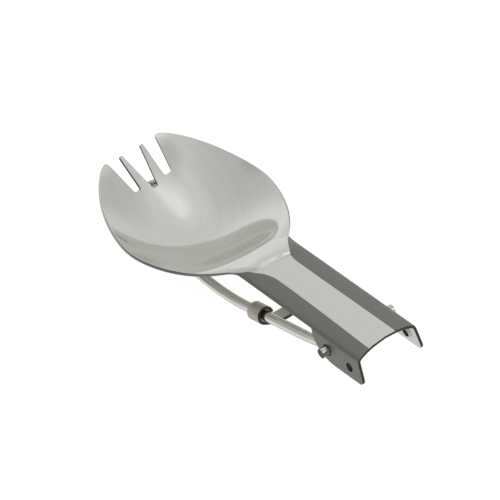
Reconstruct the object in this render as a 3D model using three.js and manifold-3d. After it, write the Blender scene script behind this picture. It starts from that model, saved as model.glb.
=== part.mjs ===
// A folding spork, modelled as its three real pieces, in millimetres.
//
// spork_head   one stamped titanium sheet: bowl, four tines, neck and the arched stub of the handle,
//              which ends in two drilled ears
// wire_handle  one round titanium wire bent to a long loop, its two ends turned out through the ears
// lock_slider  a strip with both ends curled round the two legs of the loop, which slides along them
//
// The pieces are drawn folded, in a drawing frame that follows the stub: X runs from the stub's open
// end toward the tines, Y to the left side and Z up, with zero height on the stub's crown. The last
// step tips the folded spork onto its slider and its wire, as it lies on a table.

import * as THREE from "three";
import { mergeVertices } from "three/addons/utils/BufferGeometryUtils.js";
import Module from "manifold-3d";

const wasm = await Module();
wasm.setup();

// The sheet and the stub of the handle.
const sheetGauge = 0.85;
const stubHalfWidth = 8.55;
const crownRadius = 18;
const shoulderRadius = 1.9;
const stubEdgeAngle = THREE.MathUtils.degToRad(57);
const stubEdgeLip = 0.2;

// The ears at the open end of the stub.
const earAngle = THREE.MathUtils.degToRad(85.5);
const earDepth = 8.5;
const earBottomEnd = 8.5;
const earFront = 17.1;
const earLean = 1.05;
const earLeanStart = 2.6;
const earTipRadius = 1.8;

// The wire loop.
const wireDiameter = 2.45;
const pinReach = 10.5;
const legHalfSpacing = 6.15;
const pinBendRadius = 2.2;
const legStartDip = THREE.MathUtils.degToRad(27);
const legSlope = THREE.MathUtils.degToRad(11);
const slopeStart = 27;
const slopeStartDrop = 10.55;
const slopeLength = 21.4;
const loopEndSetback = 5.1;
const loopEndClearance = 2.1;
const loopEndRise = THREE.MathUtils.degToRad(26);

// The two holes in each ear: the wire turns in the front one, the rear one is empty.
const pivotPlay = 0.5;
const pivotHoleDiameter = wireDiameter + pivotPlay;
const pivotFromEnd = 11.6;
const pivotFromBottom = 3.1;
const pivotDrop = earDepth - pivotFromBottom;
const rearHoleDiameter = 2.3;
const rearHoleFromEnd = 3.4;
const rearHoleFromBottom = 2.75;
const rearHoleDrop = earDepth - rearHoleFromBottom;

// The neck, where the bowl's floor steps down onto the stub's crown.
const neckStation = 41.4;
const neckStepHeight = 0.3;
const neckStepLength = 2.2;
const neckBlendStart = 40;
const neckBlendEnd = 49.5;
const neckCornerRadius = 1;

// The bowl, seen from above: two half ellipses that meet at the widest place.
const widestStation = 72.3;
const bowlHalfWidth = 19.7;
const backSemiAxis = 28.2;
const backRoundness = 1.68;
const frontSemiAxis = 27.8;
const frontRoundness = 1.88;
const frontStation = 97.3;
const frontCornerRadius = 1;

// The bowl, seen from the side: its rim and its floor.
const rimLowStation = 60;
const rimLowDrop = 4;
const rimStartStation = 46;
const rimFrontRise = 2.5;
const rimFrontPower = 2.3;
const floorStation = 72.7;
const floorDrop = 11.95;
const floorFrontRise = 1.75;
const floorFrontPower = 1.61;
const floorBackPower = 2.03;
const wallPower = 1.93;

// The slots between the four tines.
const innerSlotRootStation = 89.05;
const innerSlotRootHalf = 0.75;
const innerSlotMouthHalf = 2.45;
const innerSlotRootRadius = 0.6;
const outerSlotRootStation = 89.75;
const outerSlotRoot = [3.5, 5.6];
const outerSlotMouth = [3.5, 6.9];
const outerSlotRootRadius = 0.85;
const innerTineTipRadius = 0.5;
const outerTineTipRadius = 0.9;

// The slider: its web bows away from the legs and runs into the two curls.
const stripGauge = 0.78;
const curlPlay = 0.55;
const sliderLength = 4.5;
const sliderPlace = 15.3;
const webLeaveAngle = THREE.MathUtils.degToRad(30);
const curlEndAngle = THREE.MathUtils.degToRad(270);

// How finely curves are cut, and how far a cutter runs past what it cuts.
const overrun = 2;
const earRunOut = 0.4;
const crownColumns = 8;
const shoulderColumns = 5;
const neckSteps = 4;
const bowlStationCount = 36;
const frontCornerSteps = 4;
const earCurveSteps = 14;
const slotCornerSteps = 5;
const holeSides = 32;
const wireSides = 12;
const pinBendSteps = 6;
const legStartSteps = 7;
const legBendSteps = 14;
const loopEndSteps = 8;
const curveHandleShare = 1 / 3;
const webSteps = 10;
const curlSteps = 20;

// Display colours, each with its roughness.
const polished = ["#c2c2b9", 0.22];
const satinWire = ["#9b988c", 0.35];
const satinStrip = ["#6f6f69", 0.4];

const lerp = THREE.MathUtils.lerp;

function smooth(share) {
  const s = THREE.MathUtils.clamp(share, 0, 1);
  return s * s * (3 - 2 * s);
}

// Solids.

function toManifold(geometry) {
  const bare = geometry.clone();
  bare.deleteAttribute("normal");
  bare.deleteAttribute("uv");
  const merged = mergeVertices(bare);
  const mesh = new wasm.Mesh({
    numProp: 3,
    vertProperties: Float32Array.from(merged.attributes.position.array),
    triVerts: Uint32Array.from(merged.index.array),
  });
  return new wasm.Manifold(mesh);
}

function toGeometry(manifold) {
  const mesh = manifold.getMesh();
  const geometry = new THREE.BufferGeometry();
  geometry.setAttribute("position", new THREE.BufferAttribute(Float32Array.from(mesh.vertProperties), 3));
  geometry.setIndex(Array.from(mesh.triVerts));
  return geometry;
}

function closedSurface(points, triangles) {
  const geometry = new THREE.BufferGeometry();
  geometry.setFromPoints(points);
  geometry.setIndex(triangles);
  return geometry;
}

// A prism drawn in the side view (X, Z) and run across the whole width.
function sidePrism(shape, curveSegments) {
  const width = 2 * (bowlHalfWidth + overrun);
  const prism = new THREE.ExtrudeGeometry(shape, { depth: width, bevelEnabled: false, curveSegments });
  prism.rotateX(Math.PI / 2);
  prism.translate(0, width / 2, 0);
  return toManifold(prism);
}

// A prism drawn in the plan view (X, Y) and run through the whole height.
function planPrism(shape, curveSegments) {
  const height = floorDrop + rimFrontRise + 2 * overrun;
  const prism = new THREE.ExtrudeGeometry(shape, { depth: height, bevelEnabled: false, curveSegments });
  prism.translate(0, 0, -floorDrop - overrun);
  return toManifold(prism);
}

// The spork head. One surface is worked out column by column and given the thickness of the sheet.

const crownHalf = (stubHalfWidth - shoulderRadius) / (1 - shoulderRadius / crownRadius);
const crownAngle = Math.asin(crownHalf / crownRadius);
const crownDrop = crownRadius * (1 - Math.cos(crownAngle));

function shoulderPoint(angle) {
  const y = crownHalf + shoulderRadius * (Math.sin(angle) - Math.sin(crownAngle));
  const z = -crownDrop - shoulderRadius * (Math.cos(crownAngle) - Math.cos(angle));
  return [y, z];
}

const stubEdge = shoulderPoint(stubEdgeAngle);
const stubEdgeDrop = -stubEdge[1] + stubEdgeLip * Math.sin(stubEdgeAngle);

// The stub's half section: crown columns, shoulder columns, then one column for the ear or the lip.
function stubColumn(column, hasEar) {
  if (column <= crownColumns) {
    const angle = crownAngle * (column / crownColumns);
    return [crownRadius * Math.sin(angle), -crownRadius * (1 - Math.cos(angle))];
  }
  const endAngle = hasEar ? earAngle : stubEdgeAngle;
  const share = Math.min((column - crownColumns) / shoulderColumns, 1);
  const [y, z] = shoulderPoint(lerp(crownAngle, endAngle, share));
  if (column <= crownColumns + shoulderColumns) return [y, z];
  const run = hasEar ? (earDepth + overrun + z) / Math.sin(earAngle) : stubEdgeLip;
  return [y + run * Math.cos(endAngle), z - run * Math.sin(endAngle)];
}

function bowlOutline(x) {
  const inFront = x > widestStation;
  const semiAxis = inFront ? frontSemiAxis : backSemiAxis;
  const power = inFront ? frontRoundness : backRoundness;
  const share = Math.min(Math.abs(x - widestStation) / semiAxis, 1);
  const ellipse = bowlHalfWidth * Math.pow(1 - Math.pow(share, power), 1 / power);
  const cornerStart = frontStation - frontCornerRadius;
  const past = Math.max(x - cornerStart, 0);
  const corner = frontCornerRadius - Math.sqrt(Math.max(frontCornerRadius ** 2 - past ** 2, 0));
  const gap = ellipse - stubEdge[0];
  const neck = inFront ? ellipse : (ellipse + stubEdge[0] + Math.hypot(gap, neckCornerRadius)) / 2;
  return neck - corner;
}

function rimHeight(x) {
  if (x > rimLowStation) {
    const share = (x - rimLowStation) / (frontStation - rimLowStation);
    return -rimLowDrop + (rimFrontRise + rimLowDrop) * Math.pow(share, rimFrontPower);
  }
  const share = Math.min((rimLowStation - x) / (rimLowStation - rimStartStation), 1);
  return -rimLowDrop + (rimLowDrop - stubEdgeDrop) * share * share;
}

function floorHeight(x) {
  if (x > floorStation) {
    const share = (x - floorStation) / (frontStation - floorStation);
    return -floorDrop + (floorFrontRise + floorDrop) * Math.pow(share, floorFrontPower);
  }
  const share = Math.min((floorStation - x) / (floorStation - neckStation), 1);
  const climb = 1 - Math.pow(1 - share * share, floorBackPower);
  return -floorDrop + (floorDrop + neckStepHeight) * climb;
}

function bowlColumn(x, column, columnCount) {
  const share = column / columnCount;
  const floor = floorHeight(x);
  return [share * bowlOutline(x), floor + (rimHeight(x) - floor) * Math.pow(share, wallPower)];
}

// One point of the upper surface. Side is -1 or 1, and column counts out from the middle line.
function sheetPoint(x, side, column) {
  const columnCount = crownColumns + shoulderColumns + 1;
  const hasEar = x <= earFront;
  const [stubY, stubZ] = stubColumn(column, hasEar);
  const [bowlY, bowlZ] = bowlColumn(x, column, columnCount);
  const bowlShare = smooth((x - neckBlendStart) / (neckBlendEnd - neckBlendStart));
  const step = neckStepHeight * smooth((x - neckStation) / neckStepLength + 1 / 2);
  const stepFade = 1 - column / columnCount;
  const y = lerp(stubY, bowlY, bowlShare);
  const z = lerp(stubZ + step * stepFade, bowlZ, bowlShare);
  return new THREE.Vector3(x, side * y, z);
}

function headStations() {
  const stations = [-earLean - overrun, earFront, earFront + earRunOut];
  const stepStart = neckStation - neckStepLength / 2;
  for (let i = 0; i <= neckSteps; i += 1) stations.push(stepStart + neckStepLength * (i / neckSteps));
  const first = stations[stations.length - 1];
  const last = frontStation - frontCornerRadius;
  for (let i = 1; i <= bowlStationCount; i += 1) stations.push(lerp(first, last, i / bowlStationCount));
  for (let i = 1; i <= frontCornerSteps; i += 1) {
    stations.push(last + frontCornerRadius * Math.sin((Math.PI / 2) * (i / frontCornerSteps)));
  }
  return stations;
}

function sheetSolid() {
  const stations = headStations();
  const half = crownColumns + shoulderColumns + 1;
  const across = 2 * half;
  const upper = [];
  for (const x of stations) {
    const row = [];
    for (let j = 0; j <= across; j += 1) {
      const side = j < half ? -1 : 1;
      row.push(sheetPoint(x, side, Math.abs(j - half)));
    }
    upper.push(row);
  }
  const points = [];
  const last = stations.length - 1;
  const stride = across + 1;
  upper.forEach((row) => row.forEach((p) => points.push(p)));
  for (let i = 0; i <= last; i += 1) {
    for (let j = 0; j <= across; j += 1) {
      const along = upper[Math.min(i + 1, last)][j].clone().sub(upper[Math.max(i - 1, 0)][j]);
      const aside = upper[i][Math.min(j + 1, across)].clone().sub(upper[i][Math.max(j - 1, 0)]);
      const normal = along.cross(aside).normalize();
      points.push(upper[i][j].clone().addScaledVector(normal, -sheetGauge));
    }
  }
  const lower = upper.length * stride;
  const triangles = [];
  const quad = (a, b, c, d) => triangles.push(a, b, c, a, c, d);
  for (let i = 0; i < last; i += 1) {
    for (let j = 0; j < across; j += 1) {
      const a = i * stride + j;
      quad(a, a + stride, a + stride + 1, a + 1);
      quad(lower + a, lower + a + 1, lower + a + stride + 1, lower + a + stride);
    }
    const right = i * stride;
    const left = right + across;
    quad(right, lower + right, lower + right + stride, right + stride);
    quad(left, left + stride, lower + left + stride, lower + left);
  }
  for (let j = 0; j < across; j += 1) {
    const end = last * stride + j;
    quad(j, j + 1, lower + j + 1, lower + j);
    quad(end, lower + end, lower + end + 1, end + 1);
  }
  return toManifold(closedSurface(points, triangles));
}

// What is cut away round the ears, in the side view: past the open end, below and in front of them.
function earTrim() {
  const far = overrun + earDepth + earLean;
  const leanSlope = earLean / (earDepth - earTipRadius - earLeanStart);
  const trim = new THREE.Shape();
  trim.moveTo(-far, overrun);
  trim.lineTo(0, overrun);
  trim.lineTo(0, -earLeanStart);
  trim.lineTo(-earLean, -earDepth + earTipRadius);
  const cornerX = -earLean - leanSlope * earTipRadius;
  trim.quadraticCurveTo(cornerX, -earDepth, cornerX + earTipRadius, -earDepth);
  trim.lineTo(earBottomEnd, -earDepth);
  const frontWidth = earFront - earBottomEnd;
  const frontHeight = earDepth - stubEdgeDrop;
  trim.absellipse(earBottomEnd, -stubEdgeDrop, frontWidth, frontHeight, -Math.PI / 2, 0, false);
  trim.lineTo(earFront + far, -stubEdgeDrop);
  trim.lineTo(earFront + far, -far);
  trim.lineTo(-far, -far);
  trim.closePath();
  return sidePrism(trim, earCurveSteps);
}

// A slot in plan: straight flanks, a root with round corners, and a mouth that rounds the tine tips.
// Its low and high sides are given as [root, mouth, tip radius].
function slotCutter(rootStation, rootRadius, [rootLow, mouthLow, lowTip], [rootHigh, mouthHigh, highTip]) {
  const out = frontStation + overrun;
  const cornerStation = rootStation + rootRadius;
  const slot = new THREE.Shape();
  slot.moveTo(out, mouthLow - lowTip);
  slot.lineTo(frontStation, mouthLow - lowTip);
  slot.quadraticCurveTo(frontStation, mouthLow, frontStation - lowTip, mouthLow);
  slot.lineTo(cornerStation, rootLow);
  slot.quadraticCurveTo(rootStation, rootLow, rootStation, rootLow + rootRadius);
  slot.lineTo(rootStation, rootHigh - rootRadius);
  slot.quadraticCurveTo(rootStation, rootHigh, cornerStation, rootHigh);
  slot.lineTo(frontStation - highTip, mouthHigh);
  slot.quadraticCurveTo(frontStation, mouthHigh, frontStation, mouthHigh + highTip);
  slot.lineTo(out, mouthHigh + highTip);
  slot.closePath();
  return planPrism(slot, slotCornerSteps);
}

function slotCutters() {
  const [rootNear, rootFar] = outerSlotRoot;
  const [mouthNear, mouthFar] = outerSlotMouth;
  const inner = innerTineTipRadius;
  const outer = outerTineTipRadius;
  const outerSlot = (low, high) => slotCutter(outerSlotRootStation, outerSlotRootRadius, low, high);
  const low = [-innerSlotRootHalf, -innerSlotMouthHalf, inner];
  const high = [innerSlotRootHalf, innerSlotMouthHalf, inner];
  return [
    outerSlot([-rootFar, -mouthFar, outer], [-rootNear, -mouthNear, inner]),
    slotCutter(innerSlotRootStation, innerSlotRootRadius, low, high),
    outerSlot([rootNear, mouthNear, inner], [rootFar, mouthFar, outer]),
  ];
}

function holeCutter(diameter, fromEnd, drop) {
  const length = 2 * (stubHalfWidth + overrun);
  const drill = new THREE.CylinderGeometry(diameter / 2, diameter / 2, length, holeSides);
  drill.translate(fromEnd, 0, -drop);
  return toManifold(drill);
}

function sporkHead() {
  let head = sheetSolid().subtract(earTrim());
  for (const cutter of slotCutters()) head = head.subtract(cutter);
  head = head.subtract(holeCutter(pivotHoleDiameter, pivotFromEnd, pivotDrop));
  head = head.subtract(holeCutter(rearHoleDiameter, rearHoleFromEnd, rearHoleDrop));
  return toGeometry(head);
}

// The wire loop. Half of its middle line is drawn, then mirrored. Its end lies under the tines, clear
// of the sheet above it.

const loopEndStation = frontStation - loopEndSetback;
const loopEndTop = floorHeight(loopEndStation) - sheetGauge - loopEndClearance;
const downSlope = new THREE.Vector3(Math.cos(legSlope), 0, -Math.sin(legSlope));
const slopeTop = new THREE.Vector3(slopeStart, 0, -slopeStartDrop);

function cubicPoints(from, fromDirection, to, toDirection, steps) {
  const reach = from.distanceTo(to) * curveHandleShare;
  const curve = new THREE.CubicBezierCurve3(
    from,
    from.clone().addScaledVector(fromDirection, reach),
    to.clone().addScaledVector(toDirection, -reach),
    to,
  );
  return curve.getSpacedPoints(steps);
}

function legMiddleLine() {
  const pivot = new THREE.Vector3(pivotFromEnd, 0, -pivotDrop);
  const dip = new THREE.Vector3(Math.cos(legStartDip), 0, -Math.sin(legStartDip));
  const rise = new THREE.Vector3(Math.cos(loopEndRise), 0, Math.sin(loopEndRise));
  const slopeFoot = slopeTop.clone().addScaledVector(downSlope, slopeLength);
  const loopEnd = new THREE.Vector3(loopEndStation, 0, loopEndTop - wireDiameter / 2);
  const bendStart = loopEnd.clone().addScaledVector(rise, -legHalfSpacing);
  const line = [new THREE.Vector3(pivotFromEnd, pinReach, -pivotDrop)];
  for (let i = 0; i <= pinBendSteps; i += 1) {
    const angle = (Math.PI / 2) * (i / pinBendSteps);
    const point = pivot.clone().addScaledVector(dip, pinBendRadius * (1 - Math.cos(angle)));
    point.y = legHalfSpacing + pinBendRadius * (1 - Math.sin(angle));
    line.push(point);
  }
  const legStart = pivot.clone().addScaledVector(dip, pinBendRadius);
  const first = cubicPoints(legStart, dip, slopeTop, downSlope, legStartSteps);
  const second = cubicPoints(slopeFoot, downSlope, bendStart, rise, legBendSteps);
  for (const point of first.slice(1).concat(second)) {
    line.push(new THREE.Vector3(point.x, legHalfSpacing, point.z));
  }
  for (let i = 1; i <= loopEndSteps; i += 1) {
    const angle = (Math.PI / 2) * (i / loopEndSteps);
    const point = bendStart.clone().addScaledVector(rise, legHalfSpacing * Math.sin(angle));
    point.y = legHalfSpacing * Math.cos(angle);
    line.push(point);
  }
  return line;
}

function wireMiddleLine() {
  const half = legMiddleLine();
  const other = half.slice(0, -1).reverse().map((p) => new THREE.Vector3(p.x, -p.y, p.z));
  return half.concat(other);
}

// A round wire along a line of points, its rings turned as little as possible from one to the next.
function roundWire(line, radius, sides) {
  const points = [];
  const triangles = [];
  const last = line.length - 1;
  let across = new THREE.Vector3(0, 0, 1);
  line.forEach((point, i) => {
    const ahead = line[Math.min(i + 1, last)].clone().sub(point).normalize();
    const behind = point.clone().sub(line[Math.max(i - 1, 0)]).normalize();
    const along = ahead.add(behind).normalize();
    across = across.addScaledVector(along, -across.dot(along)).normalize();
    const third = along.clone().cross(across);
    for (let k = 0; k < sides; k += 1) {
      const angle = 2 * Math.PI * (k / sides);
      const rim = across.clone().multiplyScalar(radius * Math.cos(angle));
      points.push(point.clone().add(rim.addScaledVector(third, radius * Math.sin(angle))));
    }
  });
  for (let i = 0; i < last; i += 1) {
    for (let k = 0; k < sides; k += 1) {
      const a = i * sides + k;
      const b = i * sides + ((k + 1) % sides);
      triangles.push(a, b, b + sides, a, b + sides, a + sides);
    }
  }
  for (let k = 1; k < sides - 1; k += 1) {
    triangles.push(0, k + 1, k);
    triangles.push(last * sides, last * sides + k, last * sides + k + 1);
  }
  return closedSurface(points, triangles);
}

function wireHandle() {
  return roundWire(wireMiddleLine(), wireDiameter / 2, wireSides);
}

// The slider, drawn as the section of its strip (Y across, Z up) and run along the legs.
function lockSlider() {
  const inner = (wireDiameter + curlPlay) / 2;
  const outer = inner + stripGauge;
  const webReach = legHalfSpacing / Math.sin(webLeaveAngle);
  const webCentre = webReach * Math.cos(webLeaveAngle);
  const outline = [];
  const arc = (centreY, centreZ, radius, from, to, steps) => {
    for (let i = 0; i <= steps; i += 1) {
      const angle = lerp(from, to, i / steps);
      const y = centreY + radius * Math.sin(angle);
      outline.push(new THREE.Vector2(y, centreZ - radius * Math.cos(angle)));
    }
  };
  const leave = webLeaveAngle;
  const end = curlEndAngle;
  arc(0, webCentre, webReach + outer, -leave, leave, webSteps);
  arc(legHalfSpacing, 0, outer, leave, end, curlSteps);
  arc(legHalfSpacing, 0, inner, end, leave, curlSteps);
  arc(0, webCentre, webReach + inner, leave, -leave, webSteps);
  arc(-legHalfSpacing, 0, inner, -leave, -end, curlSteps);
  arc(-legHalfSpacing, 0, outer, -end, -leave, curlSteps);
  const section = new THREE.Shape(outline);
  const slider = new THREE.ExtrudeGeometry(section, { depth: sliderLength, bevelEnabled: false });
  slider.translate(0, 0, -sliderLength / 2);
  const across = new THREE.Vector3(0, 1, 0);
  const up = downSlope.clone().cross(across);
  slider.applyMatrix4(new THREE.Matrix4().makeBasis(across, up, downSlope));
  const place = slopeTop.clone().addScaledVector(downSlope, sliderPlace);
  slider.translate(place.x, place.y, place.z);
  return slider;
}

// The folded spork, tipped so that the slider and the wire both touch the table.

function corners(geometry) {
  const position = geometry.attributes.position;
  const indices = Array.from({ length: position.count }, (_, i) => i);
  return indices.map((i) => new THREE.Vector3().fromBufferAttribute(position, i));
}

// In the side view, the line that carries the slider and the wire from below. From any corner of the
// slider, the flattest line to the wire beyond it leaves the whole wire above it, and the steepest of
// these lines leaves the slider above it too.
function restingTurn(slider, wire) {
  const feet = corners(slider);
  const sliderEnd = Math.max(...feet.map((foot) => foot.x));
  const beyond = corners(wire).filter((point) => point.x > sliderEnd);
  const slopes = feet.map((foot) => Math.min(...beyond.map((p) => (p.z - foot.z) / (p.x - foot.x))));
  return Math.atan(Math.max(...slopes));
}

function named(name, geometry, [colour, roughness]) {
  const material = new THREE.MeshStandardMaterial({ color: colour, roughness, metalness: 1 });
  const mesh = new THREE.Mesh(geometry, material);
  mesh.name = name;
  return mesh;
}

const headGeometry = sporkHead();
const wireGeometry = wireHandle();
const sliderGeometry = lockSlider();

const folded = new THREE.Group();
folded.add(named("spork_head", headGeometry, polished));
folded.add(named("wire_handle", wireGeometry, satinWire));
folded.add(named("lock_slider", sliderGeometry, satinStrip));
folded.rotation.y = restingTurn(sliderGeometry, wireGeometry);

const spork = new THREE.Group();
spork.add(folded);
spork.updateMatrixWorld(true);
const box = new THREE.Box3().setFromObject(spork, true);
const middle = box.getCenter(new THREE.Vector3());
folded.position.set(-middle.x, -middle.y, -box.min.z);
spork.updateMatrixWorld(true);

export default spork;
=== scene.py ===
# %% [markdown]
# A folding spork of bare titanium, lying folded on a white table. It has three pieces: a stamped head
# with bowl, tines and an arched stub, a wire loop for a handle, and a small slider on the wire. The
# CAD model gives their places and how they move. This lesson makes the same pieces finer, so that the
# polished metal reflects as smoothly as the real one, and then gives them their finishes.

# %% Load the model
from math import asin, cos, exp, hypot, pi, radians, sin

import bpy
import numpy as np
from mathutils import Matrix, Vector
from mathutils.geometry import delaunay_2d_cdt
from mathutils.kdtree import KDTree


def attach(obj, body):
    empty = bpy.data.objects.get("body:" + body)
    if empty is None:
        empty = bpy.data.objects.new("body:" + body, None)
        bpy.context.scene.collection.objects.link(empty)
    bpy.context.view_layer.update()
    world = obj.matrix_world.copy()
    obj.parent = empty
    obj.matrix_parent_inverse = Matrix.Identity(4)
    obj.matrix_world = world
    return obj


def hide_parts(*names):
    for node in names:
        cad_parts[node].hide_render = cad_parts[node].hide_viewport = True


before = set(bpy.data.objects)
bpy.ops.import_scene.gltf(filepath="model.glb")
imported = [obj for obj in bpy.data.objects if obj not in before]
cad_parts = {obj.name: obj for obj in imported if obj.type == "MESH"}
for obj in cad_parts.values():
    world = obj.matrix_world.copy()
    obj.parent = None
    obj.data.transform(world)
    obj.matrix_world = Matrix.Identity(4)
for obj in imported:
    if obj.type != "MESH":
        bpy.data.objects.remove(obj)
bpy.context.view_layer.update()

# %% [markdown]
# The spork is easiest to describe along its stub: X toward the tines, Y to the left and Z up, in
# millimetres, with zero on top of the stub at its open end. The folded spork lies a little tipped on
# the table, so one matrix turns those numbers into metres in the model's frame. The small helpers
# here ease one number into another. The smoother ones leave no sudden change of bend, which polished
# metal would show as a line.

# %% The drawing frame
MM = 0.001
TABLE_TIP = radians(2.8617316)
STUB_END_ON_TABLE = Vector((-48.174, 0, 19.903)) * MM
to_table = Matrix.Translation(STUB_END_ON_TABLE) @ Matrix.Rotation(TABLE_TIP, 4, "Y") @ Matrix.Scale(MM, 4)
print("the stub's open end is at", [round(v, 4) for v in to_table.translation], "m")


def share_between(low, high, value):
    return min(max((value - low) / (high - low), 0.0), 1.0)


def smooth_step(low, high, value):
    s = share_between(low, high, value)
    return s * s * (3 - 2 * s)


def smoother_step(low, high, value):
    s = share_between(low, high, value)
    return s * s * s * (s * (6 * s - 15) + 10)


def rounded_ramp(share, corner=0.25):
    s = min(max(share, 0.0), 1.0)
    if s < corner:
        return s * s / (2 * corner * (1 - corner))
    if s > 1 - corner:
        return 1 - (1 - s) ** 2 / (2 * corner * (1 - corner))
    return (s - corner / 2) / (1 - corner)


def mix(a, b, share):
    return a + (b - a) * share


# %% [markdown]
# The camera is the photograph's: a long lens from far above the stub's left side, rolled a little, so
# its three axes are written out instead of being aimed.

# %% Camera
CAMERA_RIGHT = Vector((-0.60103, -0.78418, -0.15435))
CAMERA_UP = Vector((0.42857, -0.47923, 0.76594))
CAMERA_BACK = Vector((-0.6746, 0.3942, 0.6241))
CAMERA_AIM = Vector((47.616, 2.2866, 0))
CAMERA_DISTANCE = 1200
FOCAL_PIXELS, PICTURE_PIXELS, SENSOR = 5196, 500, 36
FAR_CLIP = 10

camera_data = bpy.data.cameras.new("camera")
camera_data.sensor_width = SENSOR
camera_data.lens = FOCAL_PIXELS / PICTURE_PIXELS * SENSOR
camera_data.clip_end = FAR_CLIP
camera = bpy.data.objects.new("camera", camera_data)
bpy.context.collection.objects.link(camera)
eye = to_table @ (CAMERA_AIM + CAMERA_BACK * CAMERA_DISTANCE)
turn = Matrix.Rotation(TABLE_TIP, 3, "Y")
columns = [(turn @ axis).normalized() for axis in (CAMERA_RIGHT, CAMERA_UP, CAMERA_BACK)]
camera.matrix_world = Matrix.Translation(eye) @ Matrix(columns).transposed().to_4x4()
bpy.context.scene.camera = camera
print("camera at", [round(v, 3) for v in eye], "lens", round(camera_data.lens, 1))

# %% [markdown]
# The stub's section is a shallow arch that turns down over two tight shoulders. It is walked by its
# length, so that points lie evenly, and the ears are the same section carried farther down.

# %% The stub's section
SHEET = 0.85
STUB_HALF_WIDTH = 8.55
CROWN_RADIUS = 18
SHOULDER_RADIUS = 1.9
STUB_EDGE_ANGLE = radians(57)
EAR_ANGLE = radians(85.5)
STUB_EDGE_LIP = 0.2
SAME_PLACE = 1e-6

crown_half = (STUB_HALF_WIDTH - SHOULDER_RADIUS) / (1 - SHOULDER_RADIUS / CROWN_RADIUS)
crown_angle = asin(crown_half / CROWN_RADIUS)
crown_drop = CROWN_RADIUS * (1 - cos(crown_angle))
crown_run = CROWN_RADIUS * crown_angle
shoulder_run = SHOULDER_RADIUS * (EAR_ANGLE - crown_angle)
rim_reach = crown_run + SHOULDER_RADIUS * (STUB_EDGE_ANGLE - crown_angle) + STUB_EDGE_LIP


def shoulder_point(angle):
    y = crown_half + SHOULDER_RADIUS * (sin(angle) - sin(crown_angle))
    z = -crown_drop - SHOULDER_RADIUS * (cos(crown_angle) - cos(angle))
    return y, z


def stub_section(reach):
    if reach < crown_run:
        angle = reach / CROWN_RADIUS
        return CROWN_RADIUS * sin(angle), -CROWN_RADIUS * (1 - cos(angle))
    if reach < crown_run + shoulder_run:
        return shoulder_point(crown_angle + (reach - crown_run) / SHOULDER_RADIUS)
    y, z = shoulder_point(EAR_ANGLE)
    past = reach - crown_run - shoulder_run
    return y + past * cos(EAR_ANGLE), z - past * sin(EAR_ANGLE)


def reach_at_height(z):
    low, high = 0.0, 4 * rim_reach
    while high - low > SAME_PLACE:
        middle = (low + high) / 2
        if stub_section(middle)[1] > z:
            low = middle
        else:
            high = middle
    return low


stub_edge_width, stub_edge_height = stub_section(rim_reach)
print("stub edge at", round(stub_edge_width, 2), round(stub_edge_height, 2))

# %% [markdown]
# The bowl is ruled by four curves along its length: its half width seen from above, the heights of
# its rim and of its floor, and how late its wall turns up between the two. Polished metal shows any
# jump in a curve's bend as a line in the reflections, so each curve is laid through a few of its
# points as a natural spline.

# %% The bowl's four curves
WIDEST, HALF_WIDTH = 72.3, 19.7
BACK_AXIS, BACK_ROUNDNESS = 28.2, 1.68
FRONT_AXIS, FRONT_ROUNDNESS = 27.8, 1.88
FRONT_END = 97.3
NECK_ROUNDING = 1.9
RIM_LOW, RIM_LOW_HEIGHT, RIM_START = 60, -4, 46
RIM_FRONT_RISE, RIM_FRONT_POWER = 2.5, 2.3
WIDTH_STATIONS = (38, 40, 42, 44, 46, 48, 50.5, 54, 59, 65, 72, 79, 85, 90, 94, 97.3, 98)
RIM_STATIONS = (38, 42, 46, 50, 55, 61, 68, 75, 82, 89, 95, 98)
FLOOR_KNOTS = {38: 0, 41.4: -0.19, 46: -0.72, 51: -2.76, 56: -6.06, 62: -9.48, 69: -11.68, 76: -11.77,
               83: -8.69, 90: -4.21, 97.3: 1.75}
WALL_POWER_KNOTS = {42: 2.32, 52: 2.2, 62: 1.9, 74: 1.89, 86: 1.81, 98: 1.68}


def width_by_rule(x):
    in_front = x > WIDEST
    axis, power = (FRONT_AXIS, FRONT_ROUNDNESS) if in_front else (BACK_AXIS, BACK_ROUNDNESS)
    ellipse = HALF_WIDTH * (1 - min(abs(x - WIDEST) / axis, 1) ** power) ** (1 / power)
    if in_front:
        return ellipse
    return (ellipse + stub_edge_width + hypot(ellipse - stub_edge_width, NECK_ROUNDING)) / 2


def rim_by_rule(x):
    if x > RIM_LOW:
        forward = share_between(RIM_LOW, FRONT_END, x) ** RIM_FRONT_POWER
        return RIM_LOW_HEIGHT + (RIM_FRONT_RISE - RIM_LOW_HEIGHT) * forward
    return RIM_LOW_HEIGHT + (stub_edge_height - RIM_LOW_HEIGHT) * share_between(RIM_LOW, RIM_START, x) ** 2


def natural_spline(rule, stations):
    xs = np.array(stations, float)
    ys = np.array([rule(x) for x in xs])
    gaps = np.diff(xs)
    count = len(xs)
    system, right = np.eye(count), np.zeros(count)
    for i in range(1, count - 1):
        system[i, i - 1:i + 2] = gaps[i - 1], 2 * (gaps[i - 1] + gaps[i]), gaps[i]
        right[i] = 6 * ((ys[i + 1] - ys[i]) / gaps[i] - (ys[i] - ys[i - 1]) / gaps[i - 1])
    bends = np.linalg.solve(system, right)

    def curve(x):
        i = int(min(max(np.searchsorted(xs, x) - 1, 0), count - 2))
        g, a, b = gaps[i], xs[i + 1] - x, x - xs[i]
        bent = (bends[i] * a ** 3 + bends[i + 1] * b ** 3) / (6 * g)
        return float(bent + (ys[i] / g - bends[i] * g / 6) * a + (ys[i + 1] / g - bends[i + 1] * g / 6) * b)

    return curve


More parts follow.
